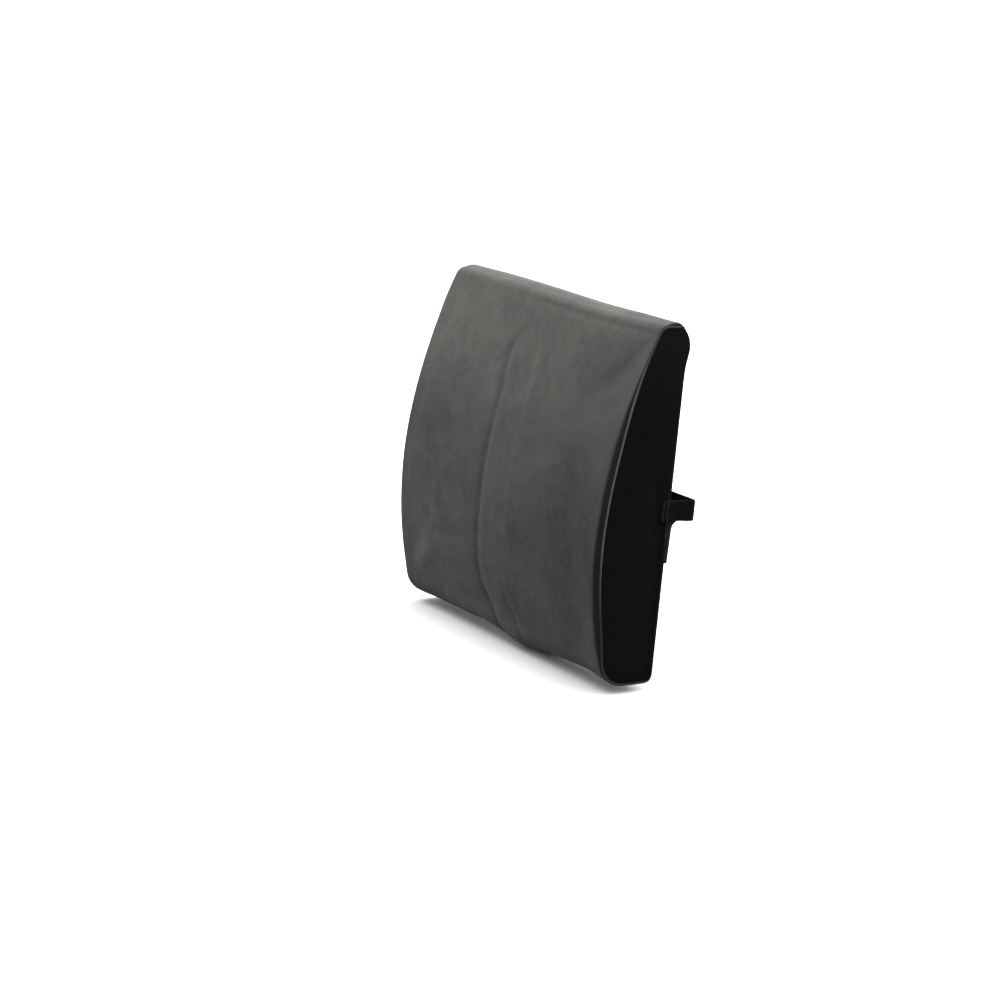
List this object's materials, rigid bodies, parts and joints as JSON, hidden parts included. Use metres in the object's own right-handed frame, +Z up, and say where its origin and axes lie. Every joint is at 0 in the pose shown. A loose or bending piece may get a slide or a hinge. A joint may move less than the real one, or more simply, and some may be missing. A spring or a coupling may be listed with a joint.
{
  "type": "lumbar support cushion",
  "caption": "Contoured lumbar support cushion: foam core in a zipped velour cover with black sides, and an elastic strap with a side-release buckle that holds it to a chair back.",
  "frame": {"origin": "centre of the flat back, on the outside of the back panel, half way up the cushion", "axes": "+X to the right when facing the front, +Y out of the back towards the chair, +Z up in use"},
  "size_m": [0.3416, 0.1139, 0.3442],
  "materials": {
    "foam": "open-cell moulded foam",
    "liner": "fine knit",
    "velour": "short-pile velour with brushed patches",
    "side_fabric": "matt black plush",
    "piping": "velour over cord",
    "webbing": "woven elastic webbing",
    "thread": "polyester thread",
    "zip_coil": "nylon",
    "zip_metal": "black enamel, semi-gloss",
    "buckle_plastic": "moulded acetal, fine texture"
  },
  "bodies": {
    "cushion": {"foam_core": "foam", "inner_liner": "liner", "front_panel": "velour", "gusset_left": "side_fabric", "gusset_right": "side_fabric", "back_panel_upper": "side_fabric", "back_panel_lower": "side_fabric", "piping_left": "piping", "piping_right": "piping", "zip_tape_upper": "webbing", "zip_tape_lower": "webbing", "zip_coil_upper": "zip_coil", "zip_coil_lower": "zip_coil", "zip_stops": "zip_metal", "strap_tab_left": "webbing", "strap_tab_right": "webbing", "strap_bartacks": "thread"},
    "slider": {"zip_slider": "zip_metal"},
    "pull": {"zip_pull": "zip_metal"},
    "right_half": {"strap_right": "webbing", "strap_right_stitching": "thread", "buckle_female": "buckle_plastic"},
    "left_arm": {"strap_left_arm": "webbing"},
    "left_half": {"strap_left": "webbing", "strap_hem_stitching": "thread", "buckle_male": "buckle_plastic"},
    "upper_prong": {"prong_upper": "buckle_plastic"},
    "lower_prong": {"prong_lower": "buckle_plastic"},
    "keeper": {"strap_keeper": "buckle_plastic"}
  },
  "joints": [
    {"name": "strap_swing", "type": "hinge", "parent": "cushion", "child": "right_half", "pos_m": [0, -0.001, -0.005], "axis": [1, 0, 0], "range_deg": [-50, 50]},
    {"name": "left_arm_swing", "type": "hinge", "parent": "cushion", "child": "left_arm", "pos_m": [0, -0.001, -0.005], "axis": [1, 0, 0], "range_deg": [-50, 50]},
    {"name": "buckle_release", "type": "slide", "parent": "left_arm", "child": "left_half", "axis": [-1, 0, 0], "range_m": [0, 0.03], "deforming": ["prong_upper", "prong_lower"]},
    {"name": "prong_squeeze", "type": "hinge", "parent": "left_half", "child": "upper_prong", "pos_m": [-0.0096, 0.0277, 0.0024], "axis": [0, 1, 0], "range_deg": [0, 7], "stiffness_Nm_per_rad": 0.001},
    {"name": "lower_prong_squeeze", "type": "hinge", "parent": "left_half", "child": "lower_prong", "pos_m": [-0.0096, 0.0277, -0.0124], "axis": [0, 1, 0], "range_deg": [-7, 0], "stiffness_Nm_per_rad": 0.001},
    {"name": "keeper_slide", "type": "slide", "parent": "left_half", "child": "keeper", "axis": [1, 0, 0], "range_m": [-0.015, 0.02]},
    {"name": "zip_slide", "type": "slide", "parent": "cushion", "child": "slider", "axis": [-1, 0, 0], "range_m": [0, 0.262]},
    {"name": "zip_pull_swing", "type": "hinge", "parent": "slider", "child": "pull", "pos_m": [0.134, 0.00275, -0.11], "axis": [0, 0, 1], "range_deg": [-170, 0]}
  ],
  "couplings": [
    {"joint": "left_arm_swing", "follows": "strap_swing", "ratio": 1},
    {"joint": "lower_prong_squeeze", "follows": "prong_squeeze", "ratio": -1}
  ]
}
